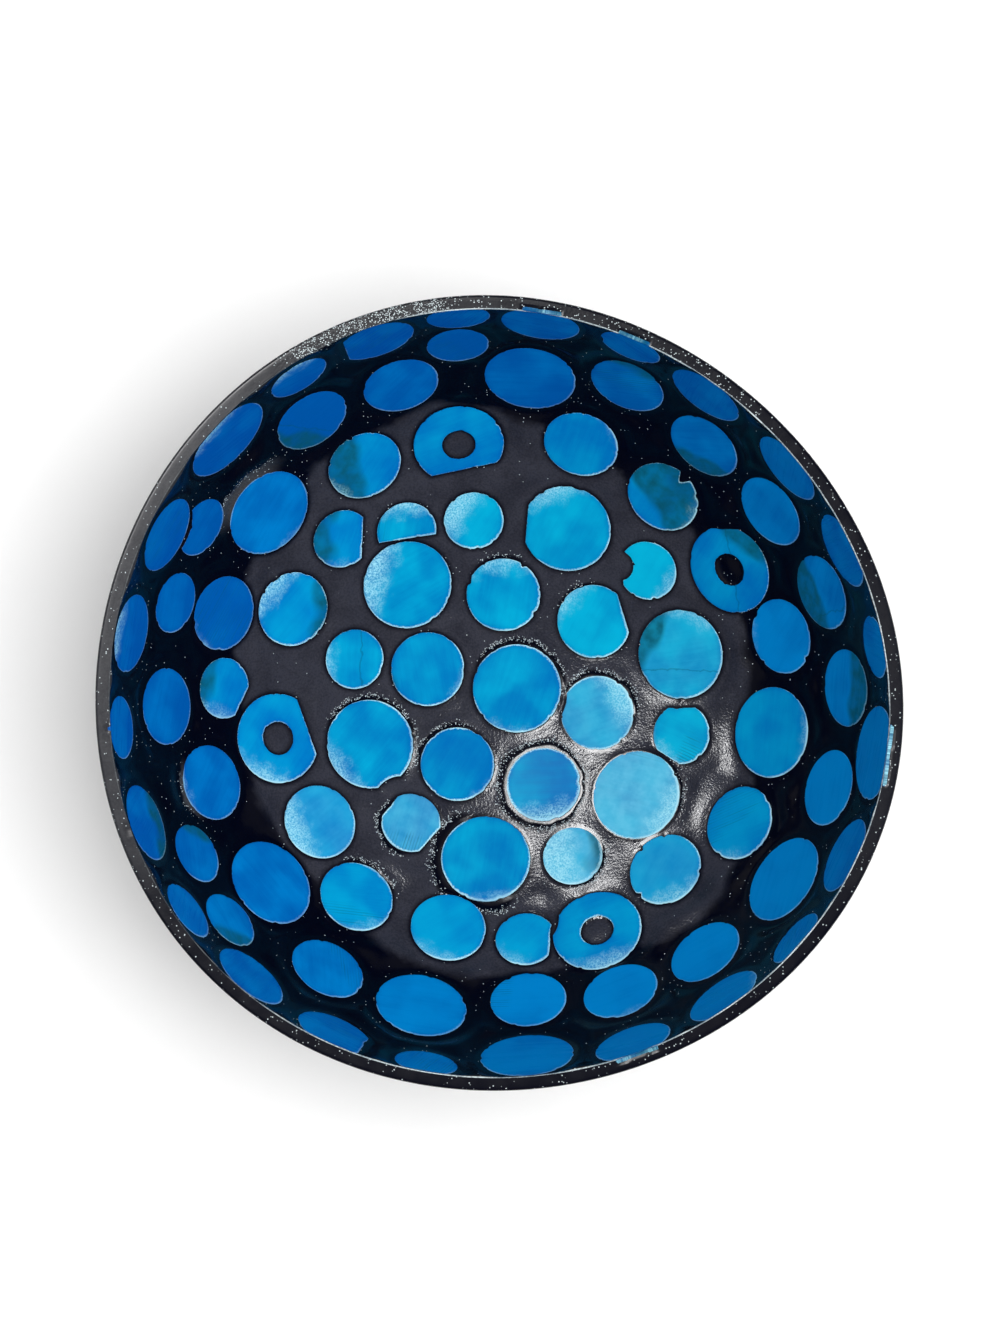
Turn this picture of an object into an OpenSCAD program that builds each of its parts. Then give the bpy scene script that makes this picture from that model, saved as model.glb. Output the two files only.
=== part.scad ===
/* [Bowl] */
// Mean diameter over the outside of the rim
bowl_d = 127; // [100:1:160]
// Radius of the shallow arc that forms the floor
floor_arc_r = 78; // [60:1:100]
// Lean of the inside where the floor arc runs into the wall arc, in degrees
knee_lean = 26; // [20:1:34]
// Lean of the inside at the rim, in degrees
rim_lean = 82; // [72:1:86]
// Diameter of the sanded foot
foot_d = 30; // [20:1:44]
// How far the outline is drawn out along its long axis, as a share of the radius
oval_share = 0.01; // [0:0.005:0.03]
// Turn of the long axis, in degrees
oval_turn = -20; // [-90:5:90]
// How far the three ridges of the nut stand out, as a share of the radius
ridge_share = 0.01; // [0:0.005:0.03]
// Turn of the first ridge, in degrees
ridge_turn = -17; // [-60:1:60]

/* [Wall] */
// Whole thickness of the wall at the rim, lacquer included
rim_wall_t = 2.6; // [2.3:0.1:4.5]
// Whole thickness of the floor in its middle
floor_t = 3.8; // [3:0.1:6]
// Thickness of the lacquer outside
coat_t = 0.25; // [0.1:0.05:0.5]
// Radius of the rounded outer edge of the rim
rim_round_r = 0.6; // [0.5:0.05:1]

/* [Pearl discs] */
// Diameter of the small blanks
small_d = 10.2; // [8:0.1:11]
// Diameter of the medium blanks
medium_d = 12.7; // [10:0.1:13.5]
// Diameter of the large blanks
large_d = 15.2; // [12:0.1:16]
// Diameter of the hole in a pierced blank
hole_d = 5.6; // [3:0.1:7]
// Thickness of a disc
disc_t = 0.6; // [0.4:0.05:0.8]
// Depth of a disc's middle under the lacquer around it
disc_sink = 0.05; // [0:0.05:0.2]
// Lacquer left between the back of a large disc and the shell
bed_t = 0.2; // [0.15:0.05:0.35]
// Gap to which a disc is filed where it meets its neighbour
file_gap = 0.4; // [0.2:0.1:0.8]
// How far lacquer fills the hole of a pierced disc, as a share of its thickness
plug_share = 0.5; // [0.2:0.1:0.9]

/* [Hidden] */
// Sides and rings of the turned bodies, which follow the nut's outline
sides = 64;
rings = 14;
round_rings = 4;
// Overrun of every cut
cut_over = 1.2;

// The inside: a floor arc and a wall arc that meet without a corner
inner_rim_r = bowl_d / 2 - rim_wall_t / sin(rim_lean);
wall_arc_r = (inner_rim_r - floor_arc_r * sin(knee_lean)) / (sin(rim_lean) - sin(knee_lean));
floor_arc = floor_arc_r * knee_lean * PI / 180;
wall_arc = wall_arc_r * (rim_lean - knee_lean) * PI / 180;
rim_z = inner_z(rim_lean);

// A flat disc touches the hollow wall with its edge, so its middle stands off by this much
disc_rise = large_d * large_d / (8 * wall_arc_r);
lining_t = disc_t + disc_sink + disc_rise + bed_t;

// The foot is sanded flat, through the lacquer and into the shell
foot_lean = atan(foot_d / 2 / (floor_arc_r + floor_t));
foot_wall_t = inner_z(foot_lean) / cos(foot_lean);
foot_shell_r = foot_d / 2 - coat_t / sin(foot_lean);

// The sizes a blank comes in
S = 0;
M = 1;
L = 2;
blank_d = [small_d, medium_d, large_d, hole_d];
hole = 3;
straight = 4;

// Places of the discs: turn about the bowl in degrees, share of the way from the middle of the floor
// to the rim, and size. Then the bites that a blank has where it was cut over the edge of another
// or over the edge of the shell: turn in the disc's own plane from uphill, depth as a share of the
// disc's diameter, and size of the other blank, or straight.
floor_disc_shares = [
    [15, 0.04, L], [161, 0.155, M], [240, 0.17, M], [349, 0.206, M, [[176, 0.05, M]]],
    [87, 0.206, M], [296.5, 0.213, M], [37, 0.253, M, [[338, 0.08, straight]]],
    [201.5, 0.286, L, [[96, 0.055, S]]], [129.8, 0.294, L], [166.5, 0.309, S],
    [236, 0.327, S, [[81, 0.08, straight], [264, 0.05, straight]]], [265.7, 0.353, L],
    [323.8, 0.355, L], [98, 0.366, S], [294.7, 0.379, S], [67.5, 0.381, L, [[108, 0.05, straight]]],
    [347.6, 0.388, S, [[102, 0.06, straight], [250, 0.055, straight]]], [12.2, 0.391, L],
    [119.3, 0.39, S, [[158, 0.37, straight]]], [39.5, 0.415, S, [[131, 0.25, hole]]]
];
pierced_disc_shares = [
    [28.3, 0.574, L, [[62, 0.03, straight]]], [98.9, 0.54, L, [[185, 0.17, straight]]],
    [191.4, 0.475, L, [[190, 0.12, straight]]], [292.8, 0.558, L, [[238, 0.04, M]]]
];
lower_disc_shares = [
    [50.1, 0.565, M], [71.6, 0.576, M], [120.2, 0.567, M], [135.1, 0.464, S, [[225, 0.15, straight]]],
    [157.5, 0.471, M], [178.7, 0.594, S, [[151, 0.08, straight]]], [215.7, 0.463, M],
    [235.1, 0.53, M], [258, 0.517, M], [276.5, 0.538, S, [[79, 0.09, straight]]],
    [313.7, 0.515, M], [332, 0.583, M], [352.1, 0.589, L]
];
rim_disc_shares = [
    [7.4, 0.95, S], [22.8, 0.94, M], [38.1, 0.928, M], [55.2, 0.918, M], [69, 0.948, S],
    [83.3, 0.934, M], [95.8, 0.956, S], [108.8, 0.917, M, [[90, 0.1, straight]]], [121.9, 0.916, S],
    [136.4, 0.905, L], [154, 0.892, M], [170.3, 0.912, M], [184.8, 0.938, S], [199.9, 0.913, M],
    [214.8, 0.929, S], [228.8, 0.919, M], [244.3, 0.936, M, [[85, 0.1, straight]]],
    [259.1, 0.952, S], [274.8, 0.893, L], [291.5, 0.937, M], [307.1, 0.937, M], [321, 0.962, S],
    [335.4, 0.936, M], [351.4, 0.93, L]
];
wall_disc_shares = [
    [1.2, 0.802, M], [11.6, 0.632, M], [17.6, 0.788, M], [33.9, 0.764, M], [50.3, 0.751, M],
    [67.2, 0.787, M], [84.1, 0.72, L], [96.4, 0.827, S], [107.3, 0.728, M], [124, 0.75, M],
    [141.5, 0.64, L], [150.4, 0.785, S], [163.5, 0.626, M], [164, 0.77, S], [182, 0.755, M],
    [197.1, 0.659, M], [207.8, 0.779, S], [219.7, 0.646, L], [220.1, 0.814, S], [238.2, 0.732, M],
    [256.2, 0.733, L], [275.8, 0.697, M], [292.6, 0.735, M], [309, 0.753, M], [327.3, 0.771, L],
    [344.4, 0.778, M]
];
// All of them in the order in which they are laid. A disc is filed to fit beside those laid before it.
laid = concat(floor_disc_shares, pierced_disc_shares, lower_disc_shares, rim_disc_shares, wall_disc_shares);
first_pierced = len(floor_disc_shares);
first_lower = first_pierced + len(pierced_disc_shares);
first_rim = first_lower + len(lower_disc_shares);
first_wall = first_rim + len(rim_disc_shares);
lower_pairs = ceil(len(lower_disc_shares) / 2);
rim_pairs = ceil(len(rim_disc_shares) / 2);
wall_pairs = ceil(len(wall_disc_shares) / 2);

shell_color = "#6b4428";
lacquer_color = "#0c0f16";
floor_pearl_color = "#2196c4";
lower_pearl_color = "#1787bd";
wall_pearl_color = "#0e6bad";
rim_pearl_color = "#0a5590";

// The nut's outline: the factor on a radius at this turn, and how it changes per radian
function outline(turn) =
    1 + oval_share * cos(2 * (turn - oval_turn)) + ridge_share * cos(3 * (turn - ridge_turn));
function outline_slope(turn) =
    -2 * oval_share * sin(2 * (turn - oval_turn)) - 3 * ridge_share * sin(3 * (turn - ridge_turn));
// The direction in which the wall faces outwards at this turn
function facing(turn) = turn - atan(outline_slope(turn) / outline(turn));

// Radius and height of the inside where it leans this far from level
function inner_r(lean) = lean < knee_lean
    ? floor_arc_r * sin(lean)
    : floor_arc_r * sin(knee_lean) + wall_arc_r * (sin(lean) - sin(knee_lean));
function inner_z(lean) = floor_t + (lean < knee_lean
    ? floor_arc_r * (1 - cos(lean))
    : floor_arc_r * (1 - cos(knee_lean)) + wall_arc_r * (cos(knee_lean) - cos(lean)));
// A point of the section this deep behind the inside
function behind(lean, depth) = [inner_r(lean) + depth * sin(lean), inner_z(lean) - depth * cos(lean)];
// A point behind the inside by this depth, near the rim and this far below it
function near_rim(depth, drop) =
    [inner_rim_r + depth / sin(rim_lean) - drop / tan(rim_lean), rim_z - drop];
// Whole thickness of the wall, which thins evenly from the foot to the rim
function wall_t(lean) =
    foot_wall_t + (rim_wall_t - foot_wall_t) * (lean - foot_lean) / (rim_lean - foot_lean);

// Sections of the faces, from the middle of the floor outwards
function hollow_side(depth) =
    [for (i = [1 : rings - 1]) behind(i * rim_lean / rings, depth)];
function round_side(depth) =
    [for (i = [0 : rings - 1])
        let (lean = foot_lean + i * (rim_lean - foot_lean) / rings)
        behind(lean, wall_t(lean) - depth)];
// The rounded outer edge of the rim, from the wall to the top
function rim_round(depth) =
    [for (i = [0 : round_rings])
        let (a = rim_lean - 90 + i * (180 - rim_lean) / round_rings)
        [bowl_d / 2 - rim_round_r + (rim_round_r - depth) * cos(a),
         rim_z - rim_round_r + (rim_round_r - depth) * sin(a)]];
function backwards(list) = [for (i = [len(list) - 1 : -1 : 0]) list[i]];

// The points of one turned ring, and the two triangles between neighbours on two rings
function ring(p) =
    [for (k = [0 : sides - 1])
        let (turn = k * 360 / sides, r = p.x * outline(turn))
        [r * cos(turn), r * sin(turn), p.y]];
function ring_faces(low, high) =
    [for (k = [0 : sides - 1])
        let (n = (k + 1) % sides)
        each [[low + k, high + n, low + n], [low + k, high + k, high + n]]];

// A body turned from a section that starts and ends on the axis
module turned_body(start_z, section, end_z) {
    count = len(section);
    end = count * sides + 1;
    last = end - sides;
    points = concat([[0, 0, start_z]], [for (p = section) each ring(p)], [[0, 0, end_z]]);
    faces = concat(
        [for (k = [0 : sides - 1]) [0, 1 + k, 1 + (k + 1) % sides]],
        [for (i = [0 : count - 2]) each ring_faces(1 + i * sides, 1 + (i + 1) * sides)],
        [for (k = [0 : sides - 1]) [end, last + (k + 1) % sides, last + k]]
    );
    polyhedron(points, faces);
}

// A ring turned from a closed section that keeps clear of the axis
module turned_ring(section) {
    count = len(section);
    points = [for (p = section) each ring(p)];
    faces = [for (i = [0 : count - 1]) each ring_faces(i * sides, (i + 1) % count * sides)];
    polyhedron(points, faces);
}

// Where a disc lies
function blank_size(disc) = blank_d[disc[2]];
function lean_at(share) =
    let (way = share * (floor_arc + wall_arc))
    way < floor_arc ? way / floor_arc * knee_lean
                    : knee_lean + (way - floor_arc) / wall_arc * (rim_lean - knee_lean);
function place(disc) =
    let (lean = lean_at(disc[1]), r = inner_r(lean) * outline(disc[0]))
    [r * cos(disc[0]), r * sin(disc[0]), inner_z(lean)];
function touches(a, b) =
    norm(place(a) - place(b)) < (blank_size(a) + blank_size(b)) / 2 + file_gap;
// The direction of one disc from another, in the plane of the other and turned from uphill
function bearing(from, to) =
    atan2(
        (to[0] - from[0]) * PI / 180 * norm([place(from).x, place(from).y]),
        (to[1] - from[1]) * (floor_arc + wall_arc)
    );

// Lays what stands on the origin in a disc's place, with the back of the disc at the origin
module laid_at(disc) {
    translate(place(disc))
        rotate([0, -lean_at(disc[1]), facing(disc[0])])
            translate([0, 0, -disc_t - disc_sink])
                children();
}

// A blank with its bites, this tall
module blank(disc, height) {
    d = blank_size(disc);
    difference() {
        cylinder(h = height, d = d, $fn = 48);
        for (bite = disc[3])
            rotate(bite[0])
                if (bite[2] == straight)
                    translate([d / 2 - bite[1] * d, -d / 2, -cut_over])
                        cube([d, d, height + 2 * cut_over]);
                else
                    translate([(d + blank_d[bite[2]]) / 2 - bite[1] * d, 0, -cut_over])
                        cylinder(h = height + 2 * cut_over, d = blank_d[bite[2]], $fn = 48);
    }
}

// A blank laid in its place and filed to fit beside the discs laid before it
module fitted(i, height) {
    before = [for (j = [0 : 1 : i - 1]) if (touches(laid[i], laid[j])) laid[j]];
    difference() {
        laid_at(laid[i]) blank(laid[i], height);
        for (other = before)
            laid_at(other)
                rotate(180 + bearing(other, laid[i]))
                    translate([0, 0, -2 * cut_over])
                        cylinder(
                            h = height + 4 * cut_over,
                            d = blank_size(other) + 2 * file_gap,
                            $fn = 48
                        );
    }
}

// What the sanding of the rim takes off
module above_rim() {
    translate([0, 0, rim_z])
        cylinder(h = large_d, d = bowl_d + large_d);
}

// The half nut: cleaned, sanded thin towards the rim and flat under the foot
module coconut_shell() {
    color(shell_color)
        turned_body(
            0,
            concat(
                [[foot_shell_r, 0]],
                round_side(coat_t),
                rim_round(coat_t),
                [near_rim(lining_t, coat_t)],
                backwards(hollow_side(lining_t))
            ),
            floor_t - lining_t
        );
}

// The lacquer outside, over the cut edge of the shell and down to the foot
module outer_lacquer() {
    color(lacquer_color)
        turned_ring(concat(
            round_side(0),
            rim_round(0),
            [near_rim(lining_t, 0), near_rim(lining_t, coat_t)],
            backwards(rim_round(coat_t)),
            backwards(round_side(coat_t)),
            [[foot_shell_r, 0]]
        ));
}

// The lacquer inside, with a pocket for each disc
module inner_lacquer() {
    color(lacquer_color)
        difference() {
            turned_body(
                floor_t - lining_t,
                concat(
                    hollow_side(lining_t),
                    [near_rim(lining_t, coat_t), near_rim(lining_t, 0), near_rim(0, 0)],
                    backwards(hollow_side(0))
                ),
                floor_t
            );
            for (i = [0 : len(laid) - 1]) pocket(i);
        }
}

// The room that a disc takes in the lacquer, open to the inside of the bowl
module pocket(i) {
    height = disc_t + disc_sink + disc_rise + cut_over;
    if (i >= first_pierced && i < first_lower)
        difference() {
            fitted(i, height);
            laid_at(laid[i])
                translate([0, 0, -cut_over])
                    cylinder(h = cut_over + disc_t * plug_share, d = hole_d, $fn = 48);
        }
    else
        fitted(i, height);
}

module floor_disc(i) {
    color(floor_pearl_color) fitted(i, disc_t);
}

module pierced_disc(i) {
    color(lower_pearl_color)
        difference() {
            fitted(first_pierced + i, disc_t);
            laid_at(laid[first_pierced + i])
                translate([0, 0, -cut_over])
                    cylinder(h = disc_t + 2 * cut_over, d = hole_d, $fn = 48);
        }
}

// The numbers in their row of the two neighbours that make up a pair
function pair(i, row) = [for (k = [2 * i, 2 * i + 1]) if (k < len(row)) k];

module lower_discs(i) {
    color(lower_pearl_color)
        for (k = pair(i, lower_disc_shares)) fitted(first_lower + k, disc_t);
}

module wall_discs(i) {
    color(wall_pearl_color)
        for (k = pair(i, wall_disc_shares)) fitted(first_wall + k, disc_t);
}

module rim_discs(i) {
    color(rim_pearl_color)
        difference() {
            for (k = pair(i, rim_disc_shares)) fitted(first_rim + k, disc_t);
            above_rim();
        }
}

coconut_shell();
outer_lacquer();
inner_lacquer();
for (i = [0 : len(floor_disc_shares) - 1])
    floor_disc(i);
for (i = [0 : len(pierced_disc_shares) - 1])
    pierced_disc(i);
for (i = [0 : lower_pairs - 1])
    lower_discs(i);
for (i = [0 : wall_pairs - 1])
    wall_discs(i);
for (i = [0 : rim_pairs - 1])
    rim_discs(i);
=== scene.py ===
"""The looks of a coconut shell bowl, lacquered black and lined with blue pearl discs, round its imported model."""
import math
import random

import bmesh
import bpy
import numpy as np
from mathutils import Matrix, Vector, noise


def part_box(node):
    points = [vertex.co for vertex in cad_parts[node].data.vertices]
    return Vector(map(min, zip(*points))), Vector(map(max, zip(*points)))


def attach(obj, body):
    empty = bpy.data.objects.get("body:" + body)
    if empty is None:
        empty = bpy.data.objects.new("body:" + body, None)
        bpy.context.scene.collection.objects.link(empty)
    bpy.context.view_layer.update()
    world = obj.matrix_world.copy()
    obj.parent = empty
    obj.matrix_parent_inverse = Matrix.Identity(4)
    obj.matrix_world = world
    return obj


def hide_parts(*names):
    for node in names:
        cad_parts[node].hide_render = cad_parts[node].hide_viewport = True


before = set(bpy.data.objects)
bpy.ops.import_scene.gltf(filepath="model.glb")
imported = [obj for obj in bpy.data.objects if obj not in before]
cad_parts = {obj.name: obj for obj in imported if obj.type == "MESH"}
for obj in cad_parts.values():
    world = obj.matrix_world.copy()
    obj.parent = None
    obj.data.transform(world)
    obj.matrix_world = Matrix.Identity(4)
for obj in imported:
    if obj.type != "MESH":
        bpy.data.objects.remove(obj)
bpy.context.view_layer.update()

MM = 0.001

# The bowl's form, as its solids have it
RIM_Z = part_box("outer_lacquer")[1].z
BOWL_R = 63.5 * MM
FLOOR_ARC_R = 78 * MM
KNEE_LEAN = math.radians(26)
RIM_LEAN = math.radians(82)
FOOT_R = 15 * MM
OVAL_SHARE = 0.01
OVAL_TURN = math.radians(-20)
RIDGE_SHARE = 0.01
RIDGE_TURN = math.radians(-17)
RIM_WALL = 2.6 * MM
FLOOR_WALL = 3.8 * MM
COAT = 0.25 * MM
LINING = 1.45 * MM
RIM_ROUND = 0.6 * MM
DISC_T = 0.6 * MM
PLUG_DEPTH = 0.3 * MM

INNER_RIM_R = BOWL_R - RIM_WALL / math.sin(RIM_LEAN)
WALL_ARC_R = (INNER_RIM_R - FLOOR_ARC_R * math.sin(KNEE_LEAN)) / (math.sin(RIM_LEAN) - math.sin(KNEE_LEAN))
FLOOR_ARC = FLOOR_ARC_R * KNEE_LEAN
WALL_ARC = WALL_ARC_R * (RIM_LEAN - KNEE_LEAN)

# How finely the lining is divided: the cap of a ball that it is drawn from, and the largest cells
# far from a disc, round a disc and at its edge
CAP = math.radians(75)
BALL_STEPS = 7
FLOOR_ROWS = ("floor", "pierced", "lower")
ALL_ROWS = FLOOR_ROWS + ("wall", "rim")
CELLS = [(1.0 * MM, 0.9 * MM, ALL_ROWS), (0.3 * MM, 0.5 * MM, ALL_ROWS), (0.35 * MM, 0.35 * MM, FLOOR_ROWS)]
EDGE_ROUND = 0.3 * MM
ROUND_STEPS = 4
BACK_RINGS = 14
COAT_STEPS = 288

# How the lacquer lies at a disc: a low step under its top, and rising to the full coat over this reach.
# It dips round the discs of the floor, and where it has shrunk from a disc there is a moat.
STEP_DOWN = 0.03 * MM
LIP_START = 0.5 * MM
LIP_REACH = 4.0 * MM
NEAR_ENOUGH = 0.02 * MM
UNDERCUT = 0.5 * MM
POCKET_SLOPE = 0.45 * MM
MOAT_DEPTH = 0.28 * MM
DIP_DEPTH = 0.12 * MM
DIP_WIDE = 0.7 * MM

# The floor of the lining is painted with a grey reflection of the room, and rubbed to a fine grain there: how far
# out in mm, by the turn in degrees. Round the discs, which stand proud, this painted reflection is left out this
# far, a painted dark halo. The faces of the rim begin this far down.
PAINTED_REFLECTION_OUT_TO = [(0, 42), (30, 43), (57, 41), (86, 46), (97, 49), (139, 48), (180, 43), (220, 43.5), (260, 47),
                 (274, 46), (318, 50), (335, 46)]
PAINTED_DARK_HALO_WIDTH = 0.9 * MM
RIM_FACES = 0.3 * MM
# The width of the painted highlight line along the inner edge of the rim, which also spaces the rings of the land
HIGHLIGHT_LINE_WIDTH = 0.1 * MM
CUT_SUNK = 0.2 * MM

# The edge of a disc: spacing of the points on it, its worn arris and the rings that follow it inwards
EDGE_POINT = 0.3 * MM
ARRIS = 0.05 * MM
EDGE_RINGS = [0.07 * MM, 0.2 * MM, 0.45 * MM, 0.9 * MM]
SHARP = math.radians(50)


def outline(turn):
    """The nut's outline: the factor on a radius at this turn."""
    oval = OVAL_SHARE * np.cos(2 * (turn - OVAL_TURN))
    ridges = RIDGE_SHARE * np.cos(3 * (turn - RIDGE_TURN))
    return 1 + oval + ridges


def lean_at(way):
    """The lean of the inside this far along its section from the middle of the floor."""
    on_floor = way / FLOOR_ARC_R
    on_wall = KNEE_LEAN + (way - FLOOR_ARC) / WALL_ARC_R
    return np.where(way < FLOOR_ARC, on_floor, on_wall)


def section(lean, depth=0.0):
    """Radius and height of the inside where it leans this far, or of a face this deep behind it."""
    floor_r = FLOOR_ARC_R * np.sin(lean)
    floor_z = FLOOR_ARC_R * (1 - np.cos(lean))
    wall_r = FLOOR_ARC_R * math.sin(KNEE_LEAN) + WALL_ARC_R * (np.sin(lean) - math.sin(KNEE_LEAN))
    wall_z = FLOOR_ARC_R * (1 - math.cos(KNEE_LEAN)) + WALL_ARC_R * (math.cos(KNEE_LEAN) - np.cos(lean))
    low = lean < KNEE_LEAN
    r = np.where(low, floor_r, wall_r) + depth * np.sin(lean)
    z = FLOOR_WALL + np.where(low, floor_z, wall_z) - depth * np.cos(lean)
    return r, z


def ring_place(turn, r, z):
    """A point on the ring of this radius and height, where the nut's outline takes it."""
    return Vector((r * outline(turn) * math.cos(turn), r * outline(turn) * math.sin(turn), z))


def finish_piece(name, bm, materials):
    """Makes a mesh object of a finished bmesh, with its corners sharp, which rides on the bowl."""
    for edge in bm.edges:
        edge.smooth = edge.calc_face_angle(0.0) < SHARP
    mesh = bpy.data.meshes.new(name)
    bm.to_mesh(mesh)
    bm.free()
    if "custom_normal" in mesh.attributes:
        mesh.attributes.remove(mesh.attributes["custom_normal"])
    for material in materials:
        mesh.materials.append(material)
    piece = bpy.data.objects.new(name, mesh)
    bpy.context.scene.collection.objects.link(piece)
    mesh.shade_smooth()
    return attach(piece, "root")


# The looks of single discs, read from the photograph. Turns are seen from above, from +X
# towards +Y, in degrees, and sizes are in mm.
#   tone     from -1, deep blue, to 1, light
#   bloom    how much of it is milky, from 0 to 1, partly a painted reflection of the small light on the floor discs that mirror it
#   grain    the turn in which its fibres run
#   frost    a frosted side: its turn, and how far it reaches in
#   dark     a side stained dark green: its turn, and how far it reaches in
#   lines    a side with growth lines: its turn, and how far they reach in
#   crack    a fine dark line across: the turn it lies to, and its distance from the middle
#   moat     where the lacquer has shrunk from it: turn, spread to both sides, and width
#   ragged   how worn its outline is, against 1 for most
#   chip     a notch in its outline: turn, half its width, and depth
#   cut      how far its edge at the rim is frosted
#   soft     how much less its edge is worn, from 0 to 0.2
DISC_LOOKS = {
    "floor": {
        1: dict(tone=-0.5, grain=70, frost=(255, 0.8), moat=(75, 75, 0.8)),
        2: dict(tone=-0.1, grain=100, frost=(330, 0.5), dark=(215, 0.5)),
        3: dict(tone=-0.4, grain=60, frost=(300, 0.3), moat=(125, 60, 0.6)),
        4: dict(tone=0.0, bloom_and_reflection=0.3, grain=20, frost=(30, 3.6), moat=(75, 80, 0.8), ragged=1.6),
        5: dict(tone=0.1, grain=80, frost=(95, 2.2), moat=(95, 35, 0.6), ragged=2.2),
        6: dict(tone=-0.35, grain=2, frost=(280, 3.0), lines=(270, 3.0), moat=(190, 180, 1.7)),
        7: dict(tone=0.35, grain=60, frost=(140, 2.0), moat=(120, 40, 0.3)),
        8: dict(tone=0.1, grain=50, frost=(215, 2.4), moat=(60, 100, 0.5)),
        9: dict(tone=0.05, grain=30, frost=(165, 4.2)),
        10: dict(tone=0.2, grain=88, frost=(180, 1.2), crack=(0, 1.2)),
        11: dict(tone=0.0, bloom_and_reflection=0.4, grain=72, lines=(260, 4.0), moat=(190, 70, 0.7)),
        12: dict(tone=-0.15, grain=80, frost=(285, 1.0), moat=(205, 100, 1.7)),
        13: dict(tone=0.2, bloom_and_reflection=0.65, grain=165, frost=(335, 3.5), lines=(75, 1.6), moat=(15, 40, 0.5), ragged=1.6),
        14: dict(tone=0.5, grain=50, frost=(150, 4.0)),
        15: dict(tone=0.4, bloom_and_reflection=0.6, grain=50, dark=(10, 2.6), frost=(190, 6.0), moat=(330, 60, 0.4)),
        16: dict(tone=0.25, grain=60, frost=(112, 2.4)),
        17: dict(tone=0.15, grain=155, frost=(230, 1.2), lines=(335, 5.0)),
        18: dict(tone=0.15, bloom_and_reflection=0.1, grain=10, dark=(155, 3.2), frost=(75, 1.6), crack=(272, 2.7)),
        19: dict(tone=0.3, grain=80, frost=(90, 2.2), lines=(180, 2.2)),
        20: dict(tone=0.5, grain=60, frost=(330, 1.6), ragged=1.8),
    },
    "pierced": {
        1: dict(tone=-0.2, grain=60, dark=(65, 2.0), crack=(0, 0.6), soft=0.14),
        2: dict(tone=0.1, grain=20, soft=0.14),
        3: dict(tone=0.1, grain=60, frost=(250, 2.4)),
        4: dict(tone=0.0, grain=20, frost=(285, 2.6)),
    },
    "lower": {
        1: dict(tone=0.0, grain=55, dark=(20, 9.0), frost=(330, 0.9), ragged=1.4, chip=(42, 1.1, 1.7)),
        2: dict(tone=0.2, grain=70, frost=(20, 0.5)),
        3: dict(tone=0.2, grain=55, dark=(195, 5.2), frost=(225, 0.7), ragged=1.8),
        4: dict(tone=0.3, grain=70, dark=(185, 3.4), frost=(265, 0.5)),
        5: dict(tone=0.45, grain=50, frost=(135, 3.0), dark=(355, 2.4), ragged=1.6),
        6: dict(tone=0.1, grain=70, dark=(160, 2.2), frost=(250, 1.4)),
        7: dict(tone=0.35, bloom_and_reflection=0.15, grain=40, frost=(200, 4.0)),
        8: dict(tone=0.2, grain=172, lines=(262, 5.0), frost=(290, 1.4), moat=(60, 50, 0.6)),
        9: dict(tone=0.2, grain=30, frost=(245, 1.6)),
        10: dict(tone=0.2, grain=40, frost=(235, 1.5)),
        11: dict(tone=0.35, bloom_and_reflection=0.1, grain=60, frost=(285, 2.6), ragged=1.8),
        12: dict(tone=-0.1, grain=25, frost=(255, 0.9), lines=(120, 7.0)),
        13: dict(tone=0.0, grain=85, frost=(0, 1.0)),
    },
    "wall": {
        1: dict(tone=-0.1, grain=88, dark=(355, 5.2)),
        2: dict(tone=0.2, grain=60, frost=(170, 0.4), ragged=2.0),
        3: dict(tone=-0.1, grain=80, dark=(185, 5.0), crack=(290, 3.6)),
        4: dict(tone=0.2, grain=60),
        5: dict(tone=0.0, grain=175, dark=(270, 3.2)),
        6: dict(tone=0.0, grain=172, lines=(90, 8.0), dark=(85, 1.4)),
        7: dict(tone=0.0, grain=178),
        8: dict(tone=-0.3, grain=20, lines=(200, 6.0)),
        9: dict(tone=0.2, grain=40),
        10: dict(tone=-0.3, grain=40, dark=(235, 3.6), crack=(235, 1.6)),
        11: dict(tone=1.1, grain=60, frost=(300, 0.3), moat=(138, 52, 2.2)),
        12: dict(tone=-0.1, grain=60),
        13: dict(tone=-0.1, grain=62, lines=(90, 12.0), frost=(235, 0.5)),
        14: dict(tone=0.0, grain=80),
        15: dict(tone=0.1, grain=80),
        16: dict(tone=0.1, grain=70, frost=(200, 0.5), moat=(200, 45, 0.6)),
        17: dict(tone=-0.1, grain=100, dark=(95, 1.8)),
        18: dict(tone=0.0, grain=130),
        19: dict(tone=0.0, grain=120, dark=(285, 1.8)),
        20: dict(tone=0.0, grain=100, lines=(0, 4.5)),
        21: dict(tone=0.15, grain=170),
        22: dict(tone=0.1, grain=2, lines=(180, 4.0)),
        23: dict(tone=0.25, grain=20, frost=(290, 0.5)),
        24: dict(tone=0.2, grain=30),
        25: dict(tone=0.15, grain=70),
        26: dict(tone=0.15, grain=80),
    },
    "rim": {
        5: dict(tone=0.0, grain=150, cut=0.3),
        6: dict(tone=0.1, grain=170, cut=0.3),
        8: dict(tone=-0.1, grain=30, lines=(150, 9.0)),
        9: dict(tone=0.0, grain=30, frost=(140, 1.8)),
        10: dict(tone=0.0, grain=40, frost=(155, 2.4)),
        11: dict(tone=0.1, grain=60, lines=(90, 9.0)),
        12: dict(tone=0.1, grain=80, frost=(175, 2.2)),
        13: dict(tone=-0.1, grain=90, cut=1.0),
        14: dict(tone=-0.2, grain=70, dark=(330, 3.5), cut=1.2),
        17: dict(tone=-0.1, grain=155, lines=(60, 7.0)),
        18: dict(tone=-0.1, grain=25, lines=(0, 8.0)),
        20: dict(tone=0.1, grain=15, cut=1.0),
        21: dict(tone=0.1, grain=30, frost=(30, 0.4)),
        22: dict(tone=0.1, grain=60, lines=(0, 9.0)),
        23: dict(tone=-0.3, grain=65),
        24: dict(tone=0.2, grain=80, cut=2.5),
    },
}
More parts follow.
